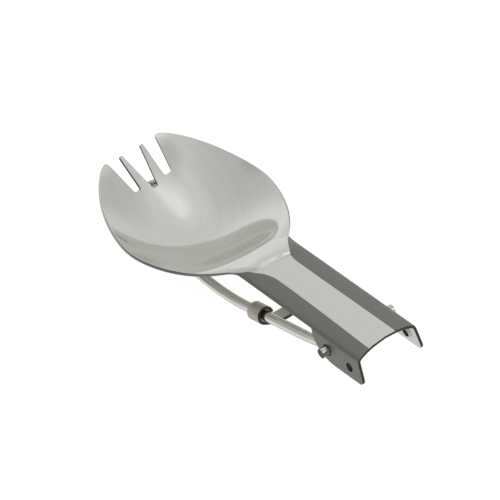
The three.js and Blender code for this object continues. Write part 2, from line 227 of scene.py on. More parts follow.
bowl_width = natural_spline(width_by_rule, WIDTH_STATIONS)
rim_height = natural_spline(rim_by_rule, RIM_STATIONS)
floor_height = natural_spline(FLOOR_KNOTS.get, list(FLOOR_KNOTS))
wall_power = natural_spline(WALL_POWER_KNOTS.get, list(WALL_POWER_KNOTS))
print("bowl half width", round(bowl_width(WIDEST), 2), "floor", round(floor_height(WIDEST), 2))

# %% [markdown]
# Any point of the sheet's upper face is found from its station and its reach from the middle line.
# Between the neck and the bowl the two sections are mixed, and a low step, the crease, crosses the
# neck where the bowl's metal was pressed over the stub. It is wider and higher toward the left side,
# a fine groove runs along its foot, and over the stub's two dark sides it spreads out softly. A step
# that is drawn by a formula stays even however fine the net is, which a sculpted one doesn't.

# %% The sheet's upper face
CREASE_KNOTS = {-9: 39.6, -4: 40.1, -0.8: 40.5, 1.5: 40.9, 2.9: 41.1, 4.3: 41.2, 5.2: 41.45, 6: 41.9, 9: 43}
CREASE_HALF, CREASE_RISE, CREASE_RETURN = 0.35, 0.46, 5.6
CREASE_SOFT, FAR_SOFT, NEAR_SOFT = 2.0, (-4.0, -5.8), (5.2, 8.2)
SOFT_SINK, RIM_FADE = 0.3, 0.72
WIDER, WIDER_PLACE, WIDER_REACH = 1.0, 3.0, 2.8
HIGHER, HIGHER_PLACE, HIGHER_REACH = 0.3, 5.0, 2.6
GROOVE_DEPTH, GROOVE_WIDTH, GROOVE_FADE = 0.12, 0.3, (4.2, 5.6)
HEIGHT_BLEND, WIDTH_BLEND = (40, 48), (41.4, 50)
PLAIN_STUB_END = 36

crease_line = natural_spline(CREASE_KNOTS.get, list(CREASE_KNOTS))


def sheet_point(x, reach):
    side = -1 if reach < 0 else 1
    run = abs(reach)
    stub_y, stub_z = stub_section(run)
    if x < PLAIN_STUB_END:
        return Vector((x, side * stub_y, stub_z))
    share = run / rim_reach
    floor = floor_height(x)
    bowl_z = floor + (rim_height(x) - floor) * share ** wall_power(x)
    y = mix(stub_y, share * bowl_width(x), smoother_step(*WIDTH_BLEND, x))
    z = mix(stub_z, bowl_z, smoother_step(*HEIGHT_BLEND, x))
    y_on_stub = side * stub_y
    past = x - crease_line(y_on_stub)
    soft = smooth_step(0, 1, (y_on_stub - FAR_SOFT[0]) / (FAR_SOFT[1] - FAR_SOFT[0]))
    soft += smooth_step(0, 1, (y_on_stub - NEAR_SOFT[0]) / (NEAR_SOFT[1] - NEAR_SOFT[0]))
    wider = 1 + WIDER * exp(-((y_on_stub - WIDER_PLACE) / WIDER_REACH) ** 2)
    higher = 1 + HIGHER * exp(-((y_on_stub - HIGHER_PLACE) / HIGHER_REACH) ** 2)
    half = CREASE_HALF * wider + CREASE_SOFT * soft
    rise = CREASE_RISE * higher * (1 - SOFT_SINK * soft)
    rise *= rounded_ramp((past + half) / (2 * half))
    rise *= 1 - smoother_step(half, half + CREASE_RETURN, past)
    groove = GROOVE_DEPTH * (1 - soft) * (1 - smooth_step(*GROOVE_FADE, y_on_stub))
    rise -= groove * exp(-((past + half + GROOVE_WIDTH) / GROOVE_WIDTH) ** 2)
    return Vector((x, side * y, z + rise * (1 - smooth_step(RIM_FADE, 1, share))))


def sheet_normal(x, reach, nudge=0.02):
    along = sheet_point(x + nudge, reach) - sheet_point(x - nudge, reach)
    across = sheet_point(x, reach + nudge) - sheet_point(x, reach - nudge)
    return along.cross(across).normalized()


print("the crease is at", round(crease_line(0), 2), "mm, its step", CREASE_RISE, "mm")

# %% [markdown]
# The sheet's outline is drawn flat, as the blank was before it was stamped: station against reach.
# One side is drawn from the open end round the ear, along the rim and in and out of the tines, and
# the other side is its mirror. All of it is drawn an edge radius too small, and the rounded edge
# that is added later makes up for it. The ear comes first, as it is seen from the side: a leaning
# end, a straight bottom, and a long curve up to the rim.

# %% The side of the ear
EDGE = 0.17
OUTLINE_STEP = 0.35
EAR_DEPTH, EAR_BOTTOM_END, EAR_FRONT = 8.72, 9.0, 17.1
EAR_LEAN, EAR_LEAN_START, EAR_TIP = 1.05, 2.6, 1.8
EAR_CURVE_STEPS, EAR_TIP_STEPS = 41, 10


def bend(start, corner, end, steps=6):
    points = []
    for i in range(1, steps + 1):
        t = i / steps
        a, b, c = (1 - t) ** 2, 2 * t * (1 - t), t * t
        points.append((a * start[0] + b * corner[0] + c * end[0], a * start[1] + b * corner[1] + c * end[1]))
    return points


def run_to(points, end):
    start = points[-1]
    steps = max(1, round(hypot(end[0] - start[0], end[1] - start[1]) / OUTLINE_STEP))
    for i in range(1, steps + 1):
        points.append((mix(start[0], end[0], i / steps), mix(start[1], end[1], i / steps)))


def ear_side():
    drop = -stub_edge_height
    lean = EAR_LEAN / (EAR_DEPTH - EAR_TIP - EAR_LEAN_START)
    corner_x = -EAR_LEAN - lean * EAR_TIP
    tip = (-EAR_LEAN, -EAR_DEPTH + EAR_TIP)
    bottom = (corner_x + EAR_TIP, -EAR_DEPTH)
    side = [(0, 0)]
    run_to(side, (0, -EAR_LEAN_START))
    run_to(side, tip)
    side += bend(tip, (corner_x, -EAR_DEPTH), bottom, EAR_TIP_STEPS)
    run_to(side, (EAR_BOTTOM_END, -EAR_DEPTH))
    for i in range(1, EAR_CURVE_STEPS):
        angle = pi / 2 * i / EAR_CURVE_STEPS
        width, height = EAR_FRONT - EAR_BOTTOM_END, EAR_DEPTH - drop
        side.append((EAR_BOTTOM_END + width * sin(angle), -drop - height * cos(angle)))
    return side


def inset(points, distance):
    moved = []
    for i, (x, z) in enumerate(points):
        before, after = points[max(i - 1, 0)], points[min(i + 1, len(points) - 1)]
        dx, dz = after[0] - before[0], after[1] - before[1]
        size = hypot(dx, dz)
        moved.append((x - dz / size * distance, z + dx / size * distance))
    return moved


left_side = [(x, reach_at_height(z)) for x, z in inset(ear_side(), EDGE)]
left_side[0] = (EDGE, 0.0)
print("ear of", len(left_side), "points")

# %% [markdown]
# The rim follows the bowl's own width to the front, and then the outline goes in and out of the tines.
# The tines are drawn in plan, station against distance from the middle line, because that is how
# their widths are seen and measured. The slot in the middle and the one on each side are widest at
# the mouth and end in a round root.

# %% The rim and the tines
INNER_ROOT, INNER_ROOT_RADIUS = 89.05, 0.6
INNER_SLOT_ROOT, INNER_SLOT_MOUTH = 0.75, 2.45
OUTER_ROOT, OUTER_ROOT_RADIUS = 89.75, 0.85
OUTER_SLOT_ROOT, OUTER_SLOT_MOUTH = (3.5, 5.6), (3.5, 6.9)
TINE_TIP, OUTER_TINE_TIP = 0.5, 0.9
FRONT_CORNER = 1.0
OUTER_TIP_BACK, OUTER_TIP_Y, CORNER_BACK = 0.1, 7.75, 0.25
FLANK_BEND_BACK, FLANK_BEND_OUT = 0.05, 0.15
RIM_GAP = 0.3
TINE_TIP_STEPS = 8


def rim_run(x, nudge=0.05):
    speed = (sheet_point(x, rim_reach) - sheet_point(x, rim_reach - nudge)).length / nudge
    return rim_reach - EDGE / speed


def tine_reach(x, y):
    return y / bowl_width(x) * rim_reach


def slot_side(x, root_end, root, mouth, tip):
    return root + (mouth - root) * (x - root_end) / (FRONT_END - tip - root_end)


def tine_side():
    points = []
    x = EAR_FRONT + RIM_GAP
    while x < FRONT_END - FRONT_CORNER:
        points.append((x, rim_run(x)))
        x += OUTLINE_STEP
    low, high = OUTER_SLOT_ROOT, OUTER_SLOT_MOUTH
    front = FRONT_END - EDGE
    corner = FRONT_END - FRONT_CORNER
    plan = [(corner, bowl_width(corner) - EDGE)]
    root_end = OUTER_ROOT + OUTER_ROOT_RADIUS
    flank_x = FRONT_END - OUTER_TINE_TIP
    flank = slot_side(flank_x, root_end, low[1], high[1], OUTER_TINE_TIP) + EDGE
    tip = (front - OUTER_TIP_BACK, OUTER_TIP_Y)
    turn_x = front - CORNER_BACK
    plan += bend(plan[-1], (turn_x, bowl_width(turn_x) - EDGE), tip, TINE_TIP_STEPS)
    flank_bend = (front - FLANK_BEND_BACK, flank + FLANK_BEND_OUT)
    plan += bend(tip, flank_bend, (flank_x, flank), TINE_TIP_STEPS)
    root, r = OUTER_ROOT - EDGE, OUTER_ROOT_RADIUS
    run_to(plan, (root + r, low[1] + EDGE))
    plan += bend(plan[-1], (root, low[1] + EDGE), (root, low[1] + EDGE - r))
    run_to(plan, (root, low[0] - EDGE + r))
    plan += bend(plan[-1], (root, low[0] - EDGE), (root + r, low[0] - EDGE))
    run_to(plan, (front - TINE_TIP, high[0] - EDGE))
    middle = (high[0] + INNER_SLOT_MOUTH) / 2
    plan += bend(plan[-1], (front, high[0] - EDGE), (front, middle))
    plan += bend(plan[-1], (front, INNER_SLOT_MOUTH + EDGE), (front - TINE_TIP, INNER_SLOT_MOUTH + EDGE))
    root, r = INNER_ROOT - EDGE, INNER_ROOT_RADIUS
    run_to(plan, (root + r, INNER_SLOT_ROOT + EDGE))
    plan += bend(plan[-1], (root, INNER_SLOT_ROOT + EDGE), (root, INNER_SLOT_ROOT + EDGE - r))
    return points + [(x, tine_reach(x, y)) for x, y in plan]


left_side += tine_side()
left_side.append((INNER_ROOT - EDGE, 0.0))
right_side = [(x, -reach) for x, reach in reversed(left_side[1:-1])]
outline = right_side + left_side
print("outline of", len(outline), "points")

# %% [markdown]
# Each ear has two holes: the front one takes the end of the wire, the rear one is empty. They are
# round seen from the side, so on the blank they are circles whose heights are turned into reach. No
# light shows through the rear holes, because the table behind them lies in the stub's shade, so they
# get a short collar inside that hides the table: a piece of sheet that stands in for that shade.

# %% The holes
PIVOT_HOLE, PIVOT_X, PIVOT_Z = 2.95, 11.6, -5.4
REAR_HOLE, REAR_X, REAR_Z = 2.3, 3.4, -5.75
HOLE_STEPS, HOLE_EDGE = 48, 0.05
COLLAR, COLLAR_WALL = 0.35, 0.3


def hole_loop(diameter, x, z, side):
    radius = diameter / 2 + HOLE_EDGE
    loop = []
    for i in range(HOLE_STEPS):
        angle = 2 * pi * i / HOLE_STEPS
        loop.append((x + radius * cos(angle), side * reach_at_height(z + radius * sin(angle))))
    return loop


def turns_clockwise(loop):
    area = 0
    for (x0, y0), (x1, y1) in zip(loop, loop[1:] + loop[:1]):
        area += x0 * y1 - x1 * y0
    return area < 0


holes, shade_collar_holes = [], []
for side in (1, -1):
    for diameter, x, z in ((PIVOT_HOLE, PIVOT_X, PIVOT_Z), (REAR_HOLE, REAR_X, REAR_Z)):
        loop = hole_loop(diameter, x, z, side)
        holes.append(loop if turns_clockwise(loop) else loop[::-1])
        if diameter == REAR_HOLE:
            shade_collar_holes.append(holes[-1])
if turns_clockwise(outline):
    outline.reverse()
print(len(holes), "holes")

# %% [markdown]
# A sheet with slots and holes could be cut out of a solid, but that leaves long thin triangles, which
# spoil reflections. Here the flat blank is filled with small, even triangles between its outlines,
# packed more closely along the crease. The corners are lifted onto the sheet afterwards.

# %% Fill the blank with a net
NET_START, NET_X, NET_REACH, NET_COLUMNS = -2, 0.5, 0.3, 56
NET_ROWS = int(FRONT_END / NET_X) + 6
BORDER_GAP = 0.2
CREASE_STEP, CREASE_ROWS = 0.1, (-18, 15)


def inside_blank(points, loops):
    points = np.array(points, float)
    inside = np.zeros(len(points), bool)
    for loop in loops:
        for (x0, y0), (x1, y1) in zip(loop, loop[1:] + loop[:1]):
            if y0 == y1:
                continue
            crosses = (points[:, 1] < y0) != (points[:, 1] < y1)
            left_of = points[:, 0] < x0 + (points[:, 1] - y0) * ((x1 - x0) / (y1 - y0))
            inside ^= crosses & left_of
    return inside


def net_points():
    net = []
    for i in range(NET_ROWS):
        for j in range(-NET_COLUMNS, NET_COLUMNS + 1):
            net.append((NET_START + i * NET_X, (j + 0.5 * (i % 2)) * NET_REACH))
    for j in range(-NET_COLUMNS, NET_COLUMNS + 1):
        crease = crease_line(j * NET_REACH)
        for i in range(*CREASE_ROWS):
            net.append((crease + (i + 0.5 * (j % 2)) * CREASE_STEP, j * NET_REACH))
    return net


def fill_blank(loops):
    points = [Vector(p) for loop in loops for p in loop]
    edges, start = [], 0
    for loop in loops:
        edges += [(start + i, start + (i + 1) % len(loop)) for i in range(len(loop))]
        start += len(loop)
    border = KDTree(len(points))
    for i, p in enumerate(points):
        border.insert((p.x, p.y, 0), i)
    border.balance()
    net = net_points()
    kept = inside_blank(net, loops)
    points += [Vector(p) for p, keep in zip(net, kept) if keep and border.find((*p, 0))[2] > BORDER_GAP]
    flat, _, faces, sources, _, _ = delaunay_2d_cdt(points, edges, [], 0, SAME_PLACE, True)
    index_of = {old: new for new, olds in enumerate(sources) for old in olds}
    middles = [(sum(flat[i].x for i in face) / 3, sum(flat[i].y for i in face) / 3) for face in faces]
    inside = inside_blank(middles, loops)
    return flat, [face for face, keep in zip(faces, inside) if keep], index_of


flat_net = fill_blank([outline] + holes)
print("net of", len(flat_net[0]), "points and", len(flat_net[1]), "triangles")

# %% [markdown]
# A stamped sheet has no sharp edge left, and its edge catches the light as a thin line. A Bevel
# modifier would round it too, but it disturbs the faces beside the edge. So the edge is built as
# rings of points, first round the upper corner and then round the lower one. In the rear holes a
# collar, which stands in for the shade seen through them, goes on from there, two rings farther in.

# %% Rounded edges and collars
EDGE_STEPS = 3


def rounded_edge(verts, normals, ids, edge, depth):
    border = []
    for i, vertex in enumerate(ids):
        before, after = verts[ids[i - 1]], verts[ids[(i + 1) % len(ids)]]
        up = normals[vertex]
        border.append((verts[vertex], up, (after - before).cross(up).normalized()))
    rings = []
    for flip in (1, -1):
        for k in range(EDGE_STEPS):
            t = pi / 2 * ((k + 1) / EDGE_STEPS if flip == 1 else (EDGE_STEPS - k) / EDGE_STEPS)
            rings.append([len(verts) + i for i in range(len(ids))])
            for point, up, out in border:
                base = point if flip == 1 else point - up * depth
                verts.append(base + out * (edge * sin(t)) - up * (flip * edge * (1 - cos(t))))
                normals.append((up * (flip * cos(t)) + out * sin(t)).normalized())
    return border, rings


def collar_inside(verts, normals, border, depth):
    rings = []
    for low in (depth, SHEET):
        rings.append([len(verts) + i for i in range(len(border))])
        for point, up, out in border:
            verts.append(point - out * COLLAR_WALL - up * low)
            normals.append(-up if low == depth else -out)
    return rings


print("rounded edges of", 2 * EDGE_STEPS, "rings, radius", EDGE, "mm")

# %% [markdown]
# The stamped sheet is one piece: polished bowl, tines, neck, stub and ears. Every corner of the net is
# lifted onto the upper face, and the lower face is the same net moved down by the sheet's gauge.
# Edges join the two along every outline. The normals come from the surface itself, not from the
# faces, which keeps the reflections clean.

# %% The stamped head


def stamped_head(loops, flat, kept, index_of):
    used = sorted({i for face in kept for i in face})
    number = {old: new for new, old in enumerate(used)}
    verts = [sheet_point(flat[old].x, flat[old].y) for old in used]
    normals = [sheet_normal(flat[old].x, flat[old].y) for old in used]
    count = len(verts)
    verts += [verts[i] - normals[i] * SHEET for i in range(count)]
    normals += [-normal for normal in normals]
    faces = []
    for face in kept:
        a, b, c = (number[i] for i in face)
        faces += [(a, b, c), (count + a, count + c, count + b)]
    kinds = ["upper", "lower"] * len(kept)
    start = 0
    for loop in loops:
        ids = [number[index_of[start + i]] for i in range(len(loop))]
        start += len(loop)
        has_collar = any(loop is hole for hole in shade_collar_holes)
        depth = SHEET + COLLAR if has_collar else SHEET
        border, rings = rounded_edge(verts, normals, ids, EDGE if loop is outline else HOLE_EDGE, depth)
        if has_collar:
            rings += collar_inside(verts, normals, border, depth)
        else:
            rings.append([count + i for i in ids])
        rings.insert(0, ids)
        for level, (upper, lower) in enumerate(zip(rings, rings[1:])):
            kind = "upper" if level < EDGE_STEPS - 1 else "edge" if level <= EDGE_STEPS + 1 else "lower"
            for i in range(len(ids)):
                j = (i + 1) % len(ids)
                faces.append((upper[j], upper[i], lower[i], lower[j]))
                kinds.append(kind)
    return verts, normals, faces, kinds


def mesh_piece(name, verts, faces, normals):
    mesh = bpy.data.meshes.new(name)
    mesh.from_pydata([to_table @ v for v in verts], [], faces)
    mesh.polygons.foreach_set("use_smooth", [True] * len(mesh.polygons))
    mesh.normals_split_custom_set_from_vertices([(turn @ n)[:] for n in normals])
    mesh.update()
    piece = bpy.data.objects.new(name, mesh)
    bpy.context.collection.objects.link(piece)
    return piece


head_points, head_normals, head_faces, head_kinds = stamped_head([outline] + holes, *flat_net)
head = mesh_piece("stamped_head", head_points, head_faces, head_normals)
print("head:", len(head.data.vertices), "vertices,", len(head.data.polygons), "faces")

# %% [markdown]
# The wire is one round bar bent along a line, so Geometry Nodes sweep a circle along that line. Its
# line is worked out for one leg and mirrored: out of the ear, down beside the stub, straight through
# the slider, then up under the bowl and round the loop's end.

# %% The wire's middle line
WIRE = 2.45
PIN_REACH = 10.5
LEG_Y = 6.15
PIN_BEND = 2.2
LEG_START_DIP, LEG_SLOPE, LOOP_END_RISE = radians(27), radians(11), radians(26)
SLOPE_TOP = Vector((27, 0, -10.55))
SLOPE_LENGTH = 21.4
LOOP_END = Vector((92.2, 0, -6.7))
PIN_STEPS, DIP_STEPS, BOW_STEPS, LOOP_STEPS = 16, 24, 40, 24
down_slope = Vector((cos(LEG_SLOPE), 0, -sin(LEG_SLOPE)))


def eased_bend(start, start_way, end, end_way, steps):
    reach = (end - start).length / 3
    a, b = start + start_way * reach, end - end_way * reach
    points = []
    for i in range(steps + 1):
        t = i / steps
        s = 1 - t
        points.append(start * s ** 3 + a * (3 * s * s * t) + b * (3 * s * t * t) + end * t ** 3)
    return points


def leg_line():
    pivot = Vector((PIVOT_X, 0, PIVOT_Z))
    dip = Vector((cos(LEG_START_DIP), 0, -sin(LEG_START_DIP)))
    rise = Vector((cos(LOOP_END_RISE), 0, sin(LOOP_END_RISE)))
    bend_start = LOOP_END - rise * LEG_Y
    line = [Vector((PIVOT_X, PIN_REACH, PIVOT_Z))]
    for i in range(PIN_STEPS + 1):
        angle = pi / 2 * i / PIN_STEPS
        point = pivot + dip * (PIN_BEND * (1 - cos(angle)))
        point.y = LEG_Y + PIN_BEND * (1 - sin(angle))
        line.append(point)
    dipping = eased_bend(pivot + dip * PIN_BEND, dip, SLOPE_TOP, down_slope, DIP_STEPS)
    bowed = eased_bend(SLOPE_TOP + down_slope * SLOPE_LENGTH, down_slope, bend_start, rise, BOW_STEPS)
    for point in dipping[1:] + bowed:
        line.append(Vector((point.x, LEG_Y, point.z)))
    for i in range(1, LOOP_STEPS + 1):
        angle = pi / 2 * i / LOOP_STEPS
        point = bend_start + rise * (LEG_Y * sin(angle))
        point.y = LEG_Y * cos(angle)
        line.append(point)
    return line


half_line = leg_line()
wire_line = half_line + [Vector((p.x, -p.y, p.z)) for p in reversed(half_line[:-1])]
print("wire line of", len(wire_line), "points")

# %% [markdown]
# The wire and the slider are both one section swept along a line, so they share their helpers: a tree
# with named inputs, a line made of points, and the step that turns the swept result into a plain
# mesh. Each point of the line has a "swell", which thins the bar where the line's ends are rounded.

# %% Helpers for a section swept along a line


def node_tree(name, inputs):
    tree = bpy.data.node_groups.new(name, "GeometryNodeTree")
    tree.interface.new_socket("Geometry", in_out="INPUT", socket_type="NodeSocketGeometry")
    for label, kind, value in inputs:
        socket = tree.interface.new_socket(label, in_out="INPUT", socket_type=kind)
        if value is not None:
            socket.default_value = value
    tree.interface.new_socket("Geometry", in_out="OUTPUT", socket_type="NodeSocketGeometry")
    return tree, tree.nodes.new("NodeGroupInput"), tree.nodes.new("NodeGroupOutput")


def line_object(name, points, swell=None):
    mesh = bpy.data.meshes.new(name)
    mesh.from_pydata(points, [(i, i + 1) for i in range(len(points) - 1)], [])
    thick = mesh.attributes.new("swell", "FLOAT", "POINT")
    thick.data.foreach_set("value", swell or [1.0] * len(points))
    piece = bpy.data.objects.new(name, mesh)
    bpy.context.collection.objects.link(piece)
    return piece


def set_inputs(piece, tree, values):
    modifier = piece.modifiers.new("sweep", "NODES")
    modifier.node_group = tree
    for item in tree.interface.items_tree:
        if item.in_out == "INPUT" and item.name in values:
            modifier[item.identifier] = values[item.name]


def freeze(piece):
    depsgraph = bpy.context.evaluated_depsgraph_get()
    depsgraph.update()
    mesh = bpy.data.meshes.new_from_object(piece.evaluated_get(depsgraph))
    piece.modifiers.clear()
    piece.data = mesh


# %% [markdown]
# The round bar's tree makes a circle, stores on it which way each of its points lies from the middle,
# and sweeps it along the line. The stored direction stays on the wire's surface round every bend, so
# that the wire's finish can follow it.

# %% The round bar's tree


def stored(tree, geometry, name, value):
    store = tree.nodes.new("GeometryNodeStoreNamedAttribute")
    store.data_type = "FLOAT_VECTOR"
    store.domain = "POINT"
    store.inputs["Name"].default_value = name
    tree.links.new(geometry, store.inputs["Geometry"])
    tree.links.new(value, store.inputs["Value"])
    return store.outputs["Geometry"]


def round_bar_tree():
    tree, given, out = node_tree("round bar", [
        ("Diameter", "NodeSocketFloat", 0.0025),
        ("Sides", "NodeSocketInt", 32),
        ("Finish", "NodeSocketMaterial", None),
    ])
    add, link = tree.nodes.new, tree.links.new
    line = add("GeometryNodeMeshToCurve")
    swell = add("GeometryNodeInputNamedAttribute")
    swell.data_type = "FLOAT"
    swell.inputs["Name"].default_value = "swell"
    swollen = add("GeometryNodeSetCurveRadius")
    half = add("ShaderNodeMath")
    half.operation = "MULTIPLY"
    half.inputs[1].default_value = 0.5
    section = add("GeometryNodeCurvePrimitiveCircle")
    around = add("GeometryNodeInputPosition")
    outward = add("ShaderNodeVectorMath")
    outward.operation = "NORMALIZE"
    sweep = add("GeometryNodeCurveToMesh")
    sweep.inputs["Fill Caps"].default_value = True
    real = add("GeometryNodeRealizeInstances")
    finish = add("GeometryNodeSetMaterial")
    link(given.outputs["Geometry"], line.inputs["Mesh"])
    link(given.outputs["Diameter"], half.inputs[0])
    link(half.outputs[0], section.inputs["Radius"])
    link(given.outputs["Sides"], section.inputs["Resolution"])
    link(line.outputs["Curve"], swollen.inputs["Curve"])
    link(swell.outputs["Attribute"], swollen.inputs["Radius"])
    link(swollen.outputs["Curve"], sweep.inputs["Curve"])
    link(around.outputs["Position"], outward.inputs[0])
    circle = stored(tree, section.outputs["Curve"], "around", outward.outputs["Vector"])
    link(circle, sweep.inputs["Profile Curve"])
    link(sweep.outputs["Mesh"], real.inputs["Geometry"])
    link(real.outputs["Geometry"], finish.inputs["Geometry"])
    link(given.outputs["Finish"], finish.inputs["Material"])
    link(finish.outputs["Geometry"], out.inputs["Geometry"])
    return tree


bar_tree = round_bar_tree()
print("round bar:", len(bar_tree.nodes), "nodes")

# %% [markdown]
# Finishes. All the pieces are bare titanium, which differs only in how its surface was worked. A small
# helper adds a node and joins it up, so that each finish below reads as a short list.

# %% Helper for nodes


def add_node(tree, kind, inputs=None, **settings):
    node = tree.nodes.new(kind)
    for name, value in settings.items():
        setattr(node, name, value)
    for key, value in (inputs or {}).items():
        if isinstance(value, bpy.types.NodeSocket):
            tree.links.new(value, node.inputs[key])
        else:
            node.inputs[key].default_value = value
    return node


def shader_group(name, inputs, outputs):
    tree = bpy.data.node_groups.new(name, "ShaderNodeTree")
    for label, kind, value in inputs:
        socket = tree.interface.new_socket(label, in_out="INPUT", socket_type=kind)
        socket.default_value = value
    for label, kind in outputs:
        tree.interface.new_socket(label, in_out="OUTPUT", socket_type=kind)
    return tree, tree.nodes.new("NodeGroupInput"), tree.nodes.new("NodeGroupOutput")


def new_material(name, colour, metallic, roughness):
    material = bpy.data.materials.new(name)
    material.use_nodes = True
    shader = material.node_tree.nodes["Principled BSDF"]
    shader.inputs["Base Color"].default_value = (*colour, 1)
    shader.inputs["Metallic"].default_value = metallic
    shader.inputs["Roughness"].default_value = roughness
    return material


# %% [markdown]
# Every finish has a grain. This group turns Object coordinates back into the stub's own millimetres,
# stretches a noise along the way the metal was worked, and gives a tinted colour, a roughness and a
# normal. It hands on the millimetres too, for finishes that change from place to place.

# %% A grain shared by all finishes
GRAIN_DETAIL, GRAIN_DISTANCE = 3.0, 0.05


def grain_group():
    tree, given, out = shader_group("worked grain", [
        ("Colour", "NodeSocketColor", (0.5, 0.5, 0.5, 1)),
        ("Lines per mm", "NodeSocketVector", (0.05, 5, 5)),
        ("Tint", "NodeSocketFloat", 0.05),
        ("Roughness", "NodeSocketFloat", 0.2),
        ("Roughness change", "NodeSocketFloat", 0.05),
        ("Depth", "NodeSocketFloat", 0.1),
    ], [("Colour", "NodeSocketColor"), ("Roughness", "NodeSocketFloat"), ("Normal", "NodeSocketVector"),
        ("Millimetres", "NodeSocketVector")])
    place = add_node(tree, "ShaderNodeTexCoord")
    back = add_node(tree, "ShaderNodeMapping", {
        "Vector": place.outputs["Object"], "Location": STUB_END_ON_TABLE,
        "Rotation": (0, TABLE_TIP, 0), "Scale": (MM, MM, MM),
    }, vector_type="TEXTURE")
    drawn = add_node(tree, "ShaderNodeVectorMath", {
        0: back.outputs["Vector"], 1: given.outputs["Lines per mm"],
    }, operation="MULTIPLY")
    noise = add_node(tree, "ShaderNodeTexNoise", {
        "Vector": drawn.outputs["Vector"], "Scale": 1.0, "Detail": GRAIN_DETAIL,
    })
    centred = add_node(tree, "ShaderNodeMath", {0: noise.outputs["Fac"], 1: 0.5}, operation="SUBTRACT")
    tint = add_node(tree, "ShaderNodeMath", {
        0: centred.outputs[0], 1: given.outputs["Tint"], 2: 1.0,
    }, operation="MULTIPLY_ADD")
    colour = add_node(tree, "ShaderNodeVectorMath", {
        0: given.outputs["Colour"], 1: tint.outputs[0],
    }, operation="MULTIPLY")
    rough = add_node(tree, "ShaderNodeMath", {
        0: centred.outputs[0], 1: given.outputs["Roughness change"], 2: given.outputs["Roughness"],
    }, operation="MULTIPLY_ADD", use_clamp=True)
    bump = add_node(tree, "ShaderNodeBump", {
        "Strength": given.outputs["Depth"], "Distance": GRAIN_DISTANCE * MM, "Height": noise.outputs["Fac"],
    })
    tree.links.new(colour.outputs["Vector"], out.inputs["Colour"])
    tree.links.new(rough.outputs[0], out.inputs["Roughness"])
    tree.links.new(bump.outputs["Normal"], out.inputs["Normal"])
    tree.links.new(back.outputs["Vector"], out.inputs["Millimetres"])
    return tree


grain = grain_group()
print("grain:", len(grain.nodes), "nodes")

# %% [markdown]
# Each finish is a row of the grain's values: its colour, lines per mm along each axis, tint,
# roughness, the roughness's change, and depth. The slider is satin, the sheet's inner side is bare,
# and the bowl's underside is polished like its inside.

# %% The plain finishes


def grained(tree, colour, lines, tint, roughness, change, depth):
    return add_node(tree, "ShaderNodeGroup", {
        "Colour": (*colour, 1), "Lines per mm": lines, "Tint": tint, "Roughness": roughness,
        "Roughness change": change, "Depth": depth,
    }, node_tree=grain)


def grained_metal(name, *values):
    material = new_material(name, values[0], 1, values[3])
    tree = material.node_tree
    shader = tree.nodes["Principled BSDF"]
    worked = grained(tree, *values)
    for socket, output in (("Base Color", "Colour"), ("Roughness", "Roughness"), ("Normal", "Normal")):
        tree.links.new(worked.outputs[output], shader.inputs[socket])
    return material


slider_metal = grained_metal("satin strip", (0.50, 0.485, 0.435), (7, 1.5, 1.5), 0.4, 0.42, 0.2, 0.2)
bare_inside = grained_metal("bare sheet inside", (0.70, 0.69, 0.65), (2, 2, 2), 0.1, 0.32, 0.1, 0.1)
bowl_underside = grained_metal("polished underside", (0.58, 0.58, 0.55), (0.1, 4, 4), 0.04, 0.14, 0.05, 0.02)
print("plain finishes:", [metal.name for metal in (slider_metal, bare_inside, bowl_underside)])

# %% [markdown]
# The blank's cut edge is dark where it was only sheared, in the slots and round the stub, and so are
# the wire's two ends and the cut sides of the slider's strip. That dark is partly the sheared finish and
# partly painted shade, for edges that lie in shade or reflect something dark. Round the front of the
# bowl the edge is painted nearly as bright as the inside: a painted highlight where the rounded rim
# catches the light. Two ramps over the stub's own millimetres tell where.

# %% The cut edge
# The dark edge colour is partly the sheared finish and partly painted shade; the light one is a painted
# highlight.
SHEARED_AND_SHADED, EDGE_HIGHLIGHT = (0.06, 0.06, 0.055), (0.6, 0.6, 0.57, 1)
EDGE_HIGHLIGHT_FROM, EDGE_HIGHLIGHT_TO = 32, 92
OUTSIDE_FROM, OUTSIDE_TO = 8, 9.5


def cut_edge():
    material = grained_metal("cut edge", SHEARED_AND_SHADED, (3, 3, 3), 0.3, 0.4, 0.1, 0.1)
    tree = material.node_tree
    shader = tree.nodes["Principled BSDF"]
    dark = shader.inputs["Base Color"].links[0].from_node
    place = add_node(tree, "ShaderNodeSeparateXYZ", {"Vector": dark.outputs["Millimetres"]})
    aside = add_node(tree, "ShaderNodeMath", {0: place.outputs["Y"]}, operation="ABSOLUTE")
    ramps = []
    spans = ((place.outputs["X"], EDGE_HIGHLIGHT_FROM, EDGE_HIGHLIGHT_TO), (aside.outputs[0], OUTSIDE_FROM, OUTSIDE_TO))
    for value, low, high in spans:
        ramps.append(add_node(tree, "ShaderNodeMapRange", {
            "Value": value, "From Min": low, "From Max": high,
        }, interpolation_type="SMOOTHSTEP").outputs["Result"])
    # How much of the painted highlight the edge gets: more toward the front and away from the middle line.
    highlight_share = add_node(tree, "ShaderNodeMath", {0: ramps[0], 1: ramps[1]}, operation="MULTIPLY")
    colour = add_node(tree, "ShaderNodeMix", {
        0: highlight_share.outputs[0], 6: dark.outputs["Colour"], 7: EDGE_HIGHLIGHT,
    }, data_type="RGBA")
    tree.links.new(colour.outputs[2], shader.inputs["Base Color"])
    return material


sheared_and_shaded_edge = cut_edge()
print("cut edge:", len(sheared_and_shaded_edge.node_tree.nodes), "nodes")

# %% [markdown]
# The upper face carries two finishes. The sides of the stub were blasted dark, and a strip along its
# top was left polished and opens into the bowl. The strip's edges are drawn where the stub turns from
# bright to dark, which lies farther out on the left, where the arch leans toward the light, than on the
# right: so the strip is partly polish and partly painted reflection. Where the strip ends on each side
# is a curve along the stub, so two Float Curve nodes hold the strip's two edges. An image could hold
# the border too, but a curve stays sharp from any distance.

